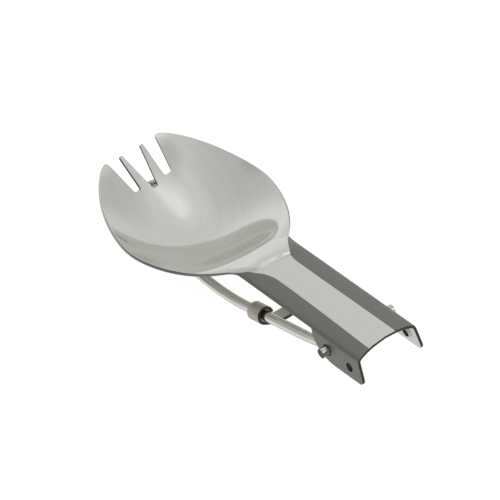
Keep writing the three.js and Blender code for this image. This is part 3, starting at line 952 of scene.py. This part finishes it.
# %% The polished strip's edges, partly painted reflection
# The left edge lies farther from the middle than the right one; that extra width is painted reflection.
NEAR_EDGE = ((-2, 4.85), (5, 4.7), (15, 4.45), (25, 4.27), (33, 4.2), (36, 4.3), (39, 5.0), (40.6, 5.65),
             (42.4, 6.6), (44.8, 7.75), (46.5, 8.4), (48, 9.2), (49.5, 12), (52, 24))
FAR_EDGE = ((-2, 2.8), (17, 2.78), (34, 2.75), (36.8, 2.8), (39.3, 3.3), (41.15, 4.3), (43.85, 5.9),
            (46.64, 7.75), (48.5, 10.5), (52, 24))
EDGE_X, EDGE_Y, EDGE_BLUR = (-2, 52), 24, 0.07


def edge_curve(tree, x, knots):
    along = add_node(tree, "ShaderNodeMapRange", {"Value": x, "From Min": EDGE_X[0], "From Max": EDGE_X[1]})
    curve = add_node(tree, "ShaderNodeFloatCurve", {"Value": along.outputs["Result"]})
    points = curve.mapping.curves[0].points
    for i, (at, reach) in enumerate(knots):
        place = ((at - EDGE_X[0]) / (EDGE_X[1] - EDGE_X[0]), reach / EDGE_Y)
        if i in (0, len(knots) - 1):
            points[0 if i == 0 else -1].location = place
        else:
            points.new(*place)
    curve.mapping.update()
    return add_node(tree, "ShaderNodeMath", {0: curve.outputs["Value"], 1: EDGE_Y}, operation="MULTIPLY")


def strip_group():
    tree, given, out = shader_group("polished strip and painted reflection", [("Millimetres", "NodeSocketVector", (0, 0, 0))],
                                    [("Mask", "NodeSocketFloat")])
    place = add_node(tree, "ShaderNodeSeparateXYZ", {"Vector": given.outputs["Millimetres"]})
    x, y = place.outputs["X"], place.outputs["Y"]
    sides = []
    for knots, way in ((NEAR_EDGE, -1), (FAR_EDGE, 1)):
        edge = edge_curve(tree, x, knots)
        room = add_node(tree, "ShaderNodeMath", {0: y, 1: way, 2: edge.outputs[0]}, operation="MULTIPLY_ADD")
        inside = add_node(tree, "ShaderNodeMapRange", {
            "Value": room.outputs[0], "From Min": -EDGE_BLUR, "From Max": EDGE_BLUR,
        }, interpolation_type="SMOOTHSTEP")
        sides.append(inside.outputs["Result"])
    both = add_node(tree, "ShaderNodeMath", {0: sides[0], 1: sides[1]}, operation="MULTIPLY")
    tree.links.new(both.outputs[0], out.inputs["Mask"])
    return tree


strip_mask = strip_group()
print("strip: edges of", len(NEAR_EDGE), "and", len(FAR_EDGE), "points")

# %% [markdown]
# Polishing left faint bands in the bowl, round a place toward the tines. They are a noise over the
# distance from that place, a little longer than wide, and they fade in past the neck. Then the mask
# mixes the polished and the blasted values into the face's one shader.

# %% The upper face: polished bowl and strip, blasted sides
POLISHED, BLASTED = (0.71, 0.71, 0.675), (0.225, 0.225, 0.208)
RINGS_FROM = (48, 62)
RING_CENTRE, RING_SHAPE, RINGS_PER_MM, RING_TINT = (84, 1, 0), (0.8, 1, 0), 0.5, 0.13
MIX_SOCKETS = {"RGBA": (6, 7, 2), "FLOAT": (2, 3, 0), "VECTOR": (4, 5, 1)}


def polishing_rings(tree, shiny):
    place = add_node(tree, "ShaderNodeVectorMath", {
        0: shiny.outputs["Millimetres"], 1: RING_CENTRE,
    }, operation="SUBTRACT")
    flat = add_node(tree, "ShaderNodeVectorMath", {
        0: place.outputs["Vector"], 1: RING_SHAPE,
    }, operation="MULTIPLY")
    away = add_node(tree, "ShaderNodeVectorMath", {0: flat.outputs["Vector"]}, operation="LENGTH")
    rings = add_node(tree, "ShaderNodeTexNoise", {
        "W": away.outputs["Value"], "Scale": RINGS_PER_MM, "Detail": GRAIN_DETAIL,
    }, noise_dimensions="1D")
    centred = add_node(tree, "ShaderNodeMath", {0: rings.outputs["Fac"], 1: 0.5}, operation="SUBTRACT")
    along = add_node(tree, "ShaderNodeSeparateXYZ", {"Vector": shiny.outputs["Millimetres"]})
    in_bowl = add_node(tree, "ShaderNodeMapRange", {
        "Value": along.outputs["X"], "From Min": RINGS_FROM[0], "From Max": RINGS_FROM[1],
        "To Max": RING_TINT,
    })
    tone = add_node(tree, "ShaderNodeMath", {
        0: centred.outputs[0], 1: in_bowl.outputs["Result"], 2: 1.0,
    }, operation="MULTIPLY_ADD")
    return add_node(tree, "ShaderNodeVectorMath", {
        0: shiny.outputs["Colour"], 1: tone.outputs[0],
    }, operation="MULTIPLY").outputs["Vector"]


def upper_face():
    material = new_material("upper face", POLISHED, 1, 0.1)
    tree = material.node_tree
    shader = tree.nodes["Principled BSDF"]
    shiny = grained(tree, POLISHED, (0.08, 3.5, 3.5), 0.035, 0.1, 0.06, 0.015)
    blasted = grained(tree, BLASTED, (4, 4, 4), 0.12, 0.45, 0.15, 0.25)
    ringed = polishing_rings(tree, shiny)
    strip = add_node(tree, "ShaderNodeGroup", {
        "Millimetres": shiny.outputs["Millimetres"],
    }, node_tree=strip_mask)
    for socket, kind in (("Colour", "RGBA"), ("Roughness", "FLOAT"), ("Normal", "VECTOR")):
        either = add_node(tree, "ShaderNodeMix", {}, data_type=kind)
        dull, bright, result = MIX_SOCKETS[kind]
        tree.links.new(strip.outputs["Mask"], either.inputs[0])
        tree.links.new(blasted.outputs[socket], either.inputs[dull])
        tree.links.new(ringed if socket == "Colour" else shiny.outputs[socket], either.inputs[bright])
        target = "Base Color" if socket == "Colour" else socket
        tree.links.new(either.outputs[result], shader.inputs[target])
    return material


top_finish = upper_face()
print("upper face:", len(top_finish.node_tree.nodes), "nodes")

# %% [markdown]
# The head's faces take four finishes. The upper and edge faces were named when the sheet was made, and
# the lower ones are bare under the stub and polished under the bowl.

# %% Finishes of the head
UPPER, INSIDE, UNDERSIDE, EDGE_FACE = range(4)
STUB_INSIDE_END = 44
for material in (top_finish, bare_inside, bowl_underside, sheared_and_shaded_edge):
    head.data.materials.append(material)
finish_of = {"upper": UPPER, "edge": EDGE_FACE}
for face, kind in zip(head.data.polygons, head_kinds):
    if kind == "lower":
        centre = to_table.inverted() @ face.center
        face.material_index = INSIDE if centre.x < STUB_INSIDE_END else UNDERSIDE
    else:
        face.material_index = finish_of[kind]
print("faces of each finish:", [sum(f.material_index == i for f in head.data.polygons) for i in range(4)])

# %% [markdown]
# Drawn wire carries fine lines along its whole length, left by the die. The sweep stored for each
# point which way it lies from the wire's middle, so a noise over that value runs on round every bend.

# %% Drawn wire
DIE_LINES, DIE_DETAIL = 1.8, 4.0
DIE_VALLEY, DIE_PEAK = (0.35, 0.45), (0.65, 1.12)


def drawn_wire():
    material = grained_metal("drawn titanium wire", (0.84, 0.82, 0.75), (2, 2, 2), 0.12, 0.14, 0.08, 0.08)
    tree = material.node_tree
    shader = tree.nodes["Principled BSDF"]
    worked = shader.inputs["Base Color"].links[0].from_node
    around = add_node(tree, "ShaderNodeAttribute", attribute_name="around")
    lines = add_node(tree, "ShaderNodeTexNoise", {
        "Vector": around.outputs["Vector"], "Scale": DIE_LINES, "Detail": DIE_DETAIL,
    })
    tone = add_node(tree, "ShaderNodeMapRange", {
        "Value": lines.outputs["Fac"], "From Min": DIE_VALLEY[0], "From Max": DIE_PEAK[0],
        "To Min": DIE_VALLEY[1], "To Max": DIE_PEAK[1],
    })
    colour = add_node(tree, "ShaderNodeVectorMath", {
        0: worked.outputs["Colour"], 1: tone.outputs["Result"],
    }, operation="MULTIPLY")
    tree.links.new(colour.outputs["Vector"], shader.inputs["Base Color"])
    return material


wire_metal = drawn_wire()
print("drawn wire:", len(wire_metal.node_tree.nodes), "nodes")

# %% [markdown]
# The handle is one wire bent to a loop, and its two ends are the pins that it turns on. The ends were
# sheared and tumbled round, so the line gets a few more points there, at which the bar grows from a
# small flat end to its full width. Only the two end faces have more than four corners, so they are
# easy to find and get the dark cut finish, which on them is a painted reflection of something dark.

# %% The wire handle
END_ROUNDING = 0.6
ROUND_STEPS = 6
WIRE_SIDES = 40


def with_round_ends(line):
    start, way = line[0], (line[0] - line[1]).normalized()
    cap, widths = [], []
    for i in range(ROUND_STEPS):
        angle = pi / 2 * i / ROUND_STEPS
        cap.append(start - way * (END_ROUNDING * (1 - cos(angle))))
        widths.append(1 - END_ROUNDING * (1 - sin(angle)) / (WIRE / 2))
    return cap, widths


first_cap, widths = with_round_ends(wire_line)
last_cap = with_round_ends(wire_line[::-1])[0]
middle_line = wire_line[1:-1]
bar_line = first_cap + middle_line + last_cap[::-1]
swell = widths + [1.0] * len(middle_line) + widths[::-1]
wire = line_object("wire_loop", [to_table @ p for p in bar_line], swell)
set_inputs(wire, bar_tree, {"Diameter": WIRE * MM, "Sides": WIRE_SIDES, "Finish": wire_metal})
freeze(wire)
wire.data.materials.append(sheared_and_shaded_edge)
for face in wire.data.polygons:
    if len(face.vertices) > 4:
        face.material_index = len(wire.data.materials) - 1
print("wire:", len(wire.data.polygons), "faces")

# %% [markdown]
# The slider is a short strip of sheet. Its web bows away from the legs and both ends curl round them.
# The strip's middle line is drawn across the legs from three arcs.

# %% The slider's line
STRIP, STRIP_CORNER = 0.78, 0.16
CURL_PLAY = 0.55
SLIDER_LENGTH = 4.5
SLIDER_PLACE = 15.3
WEB_LEAVE = radians(30)
CURL_END = radians(270)
CURL_STEPS, WEB_STEPS = 48, 40


def slider_line():
    middle = (WIRE + CURL_PLAY + STRIP) / 2
    reach = LEG_Y / sin(WEB_LEAVE)
    web_centre = reach * cos(WEB_LEAVE)
    points = []

    def arc(centre_y, centre_z, radius, start, end, steps):
        for i in range(steps + 1):
            angle = mix(start, end, i / steps)
            points.append((centre_y + radius * sin(angle), centre_z - radius * cos(angle)))

    arc(-LEG_Y, 0, middle, -CURL_END, -WEB_LEAVE, CURL_STEPS)
    points.pop()
    arc(0, web_centre, reach + middle, -WEB_LEAVE, WEB_LEAVE, WEB_STEPS)
    points.pop()
    arc(LEG_Y, 0, middle, WEB_LEAVE, CURL_END, CURL_STEPS)
    return points


strip_line = slider_line()
print("slider line of", len(strip_line), "points")

# %% [markdown]
# Geometry Nodes sweep a flat section with rounded corners along the slider's line. The line lies in
# its own plane at first, where the strip's two long cut sides face straight up and down and can be
# told by their normals. They get the dark cut finish, which is partly painted shade, and then one
# matrix carries the mesh to its place on the legs.

# %% The slider
CORNER_POINTS = 5
CUT_SIDE = 0.7


def flat_bar_tree():
    tree, given, out = node_tree("flat bar", [
        ("Thickness", "NodeSocketFloat", 0.0008),
        ("Width", "NodeSocketFloat", 0.0045),
        ("Corner", "NodeSocketFloat", 0.0002),
        ("Finish", "NodeSocketMaterial", None),
    ])
    add, link = tree.nodes.new, tree.links.new
    line = add("GeometryNodeMeshToCurve")
    section = add("GeometryNodeCurvePrimitiveQuadrilateral")
    rounded = add("GeometryNodeFilletCurve")
    rounded.mode = "POLY"
    rounded.inputs["Count"].default_value = CORNER_POINTS
    sweep = add("GeometryNodeCurveToMesh")
    sweep.inputs["Fill Caps"].default_value = True
    real = add("GeometryNodeRealizeInstances")
    finish = add("GeometryNodeSetMaterial")
    link(given.outputs["Geometry"], line.inputs["Mesh"])
    link(given.outputs["Thickness"], section.inputs["Width"])
    link(given.outputs["Width"], section.inputs["Height"])
    link(section.outputs["Curve"], rounded.inputs["Curve"])
    link(given.outputs["Corner"], rounded.inputs["Radius"])
    link(line.outputs["Curve"], sweep.inputs["Curve"])
    link(rounded.outputs["Curve"], sweep.inputs["Profile Curve"])
    link(sweep.outputs["Mesh"], real.inputs["Geometry"])
    link(real.outputs["Geometry"], finish.inputs["Geometry"])
    link(given.outputs["Finish"], finish.inputs["Material"])
    link(finish.outputs["Geometry"], out.inputs["Geometry"])
    return tree


slider = line_object("curled_slider", [Vector((y * MM, z * MM, 0)) for y, z in strip_line])
set_inputs(slider, flat_bar_tree(), {
    "Thickness": STRIP * MM, "Width": SLIDER_LENGTH * MM, "Corner": STRIP_CORNER * MM,
    "Finish": slider_metal,
})
freeze(slider)
lows = [min(v.co[i] for v in slider.data.vertices) / MM for i in range(3)]
highs = [max(v.co[i] for v in slider.data.vertices) / MM for i in range(3)]
print("slider in its own plane:", [round(v, 2) for v in lows], [round(v, 2) for v in highs])
across = Vector((0, 1, 0))
up = down_slope.cross(across)
basis = Matrix((across, up, down_slope)).transposed().to_4x4()
place = Matrix.Translation(SLOPE_TOP + down_slope * SLIDER_PLACE)
slider.data.materials.append(sheared_and_shaded_edge)
for face in slider.data.polygons:
    if abs(face.normal.z) > CUT_SIDE:
        face.material_index = len(slider.data.materials) - 1
slider.data.transform(to_table @ place @ basis @ Matrix.Scale(1 / MM, 4))
slider.data.update()
print("slider:", len(slider.data.polygons), "faces")

# %% [markdown]
# Each finished piece stands for one node of the CAD model and moves with that node's body. Nothing is
# placed by hand here, because every mesh already lies where it belongs.

# %% Ride on the bodies
for piece, node, body, slot in (
    (head, "spork_head", "head", "head_titanium"),
    (wire, "wire_handle", "handle", "wire_titanium"),
    (slider, "lock_slider", "slider", "slider_titanium"),
):
    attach(piece, body)
    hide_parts(node)
    print(piece.name, "rides on", body)

# %% [markdown]
# The table is white paper. Seen directly, or in the metal, it shines a little by itself so that it
# looks white, and the rest of its brightness is the light it gets, so it still takes a soft shadow.

# %% Table
TABLE_GLOW, TABLE_IN_METAL, TABLE_PAPER, TABLE_OTHERWISE = 0.92, 0.71, 0.22, 0.85
TABLE_HALF = 3


def white_table():
    material = bpy.data.materials.new("white table")
    material.use_nodes = True
    tree = material.node_tree
    tree.nodes.remove(tree.nodes["Principled BSDF"])
    rays = add_node(tree, "ShaderNodeLightPath")
    seen = add_node(tree, "ShaderNodeMath", {
        0: rays.outputs["Is Camera Ray"], 1: rays.outputs["Is Glossy Ray"],
    }, operation="MAXIMUM")
    seen = add_node(tree, "ShaderNodeMath", {
        0: seen.outputs[0], 1: rays.outputs["Is Transmission Ray"],
    }, operation="MAXIMUM")
    strength = add_node(tree, "ShaderNodeMix", {
        0: rays.outputs["Is Glossy Ray"], 2: TABLE_GLOW, 3: TABLE_IN_METAL,
    }, data_type="FLOAT")
    glow = add_node(tree, "ShaderNodeEmission", {"Color": (1, 1, 1, 1), "Strength": strength.outputs[0]})
    paper = add_node(tree, "ShaderNodeBsdfDiffuse", {"Color": (*[TABLE_PAPER] * 3, 1)})
    both = add_node(tree, "ShaderNodeAddShader", {0: glow.outputs[0], 1: paper.outputs[0]})
    plain = add_node(tree, "ShaderNodeBsdfDiffuse", {"Color": (*[TABLE_OTHERWISE] * 3, 1)})
    surface = add_node(tree, "ShaderNodeMixShader", {
        0: seen.outputs[0], 1: plain.outputs[0], 2: both.outputs[0],
    })
    tree.links.new(surface.outputs[0], tree.nodes["Material Output"].inputs["Surface"])
    return material


table_mesh = bpy.data.meshes.new("table")
corners = [(x * TABLE_HALF, y * TABLE_HALF, 0) for x, y in ((-1, -1), (1, -1), (1, 1), (-1, 1))]
table_mesh.from_pydata(corners, [], [(0, 1, 2, 3)])
table = bpy.data.objects.new("table", table_mesh)
bpy.context.collection.objects.link(table)
table.data.materials.append(white_table())
print("table:", 2 * TABLE_HALF, "m square")

# %% [markdown]
# The light is a pale studio all round, as a photographer's tent gives. Polished metal only shows what
# stands round it, so the tent has its lighter and darker places: a soft box over the bowl and a faint
# glow round it, a narrow bright panel beside the camera that lights the crease, a white card past
# the tines, the camera's own dark arm, and dark flags to both sides. Lamps would give hard spots in
# the bowl, so each place is a soft round patch of the world. The camera itself sees plain white.

# %% Light
STUDIO_WALLS = 0.75
LIGHTER_AND_DARKER = (
    ("soft box over the bowl", (-0.24, -0.26, 0.93), 0.955, 1.0, 0.20),
    ("glow of the ceiling", (-0.12, -0.20, 0.97), 0.85, 1.0, 0.05),
    ("bright panel beside the camera", (-0.66, -0.46, 0.595), 0.945, 0.975, 0.5),
    ("the camera's dark arm", (-0.54, -0.12, 0.83), 0.92, 0.985, -0.18),
    ("dark flag at the right", (-0.5, -0.85, 0.1), 0.68, 0.80, -0.13),
    ("dark flag at the left", (0.1, 0.99, 0.1), 0.05, 0.7, -0.14),
    ("black wall at the left", (0.2, 0.97, 0.1), 0.70, 0.92, -0.33),
    ("white card past the tines", (1.0, -0.1, 0.0), 0.8, 1.0, 0.14),
)


def studio():
    world = bpy.data.worlds.new("studio")
    bpy.context.scene.world = world
    world.use_nodes = True
    tree = world.node_tree
    background = tree.nodes["Background"]
    way = add_node(tree, "ShaderNodeTexCoord").outputs["Generated"]
    turned = add_node(tree, "ShaderNodeVectorMath", {0: way}, operation="NORMALIZE").outputs["Vector"]

    def patch(direction, low, high, strength):
        near = add_node(tree, "ShaderNodeVectorMath", {0: turned, 1: direction}, operation="DOT_PRODUCT")
        return add_node(tree, "ShaderNodeMapRange", {
            "Value": near.outputs["Value"], "From Min": low, "From Max": high,
            "To Min": 0, "To Max": strength,
        }, interpolation_type="SMOOTHSTEP").outputs["Result"]

    pale = STUDIO_WALLS
    for name, direction, low, high, strength in LIGHTER_AND_DARKER:
        part = patch(Vector(direction).normalized(), low, high, strength)
        pale = add_node(tree, "ShaderNodeMath", {0: pale, 1: part}, operation="ADD", label=name).outputs[0]
    rays = add_node(tree, "ShaderNodeLightPath")
    seen = add_node(tree, "ShaderNodeMath", {
        0: rays.outputs["Is Camera Ray"], 1: rays.outputs["Is Transmission Ray"],
    }, operation="MAXIMUM")
    strength = add_node(tree, "ShaderNodeMix", {0: seen.outputs[0], 2: pale, 3: 1.0}, data_type="FLOAT")
    tree.links.new(strength.outputs[0], background.inputs["Strength"])
    background.inputs["Color"].default_value = (1, 1, 1, 1)


studio()
bpy.context.scene.view_settings.view_transform = "Standard"
print("studio with", len(LIGHTER_AND_DARKER), "lighter and darker places")
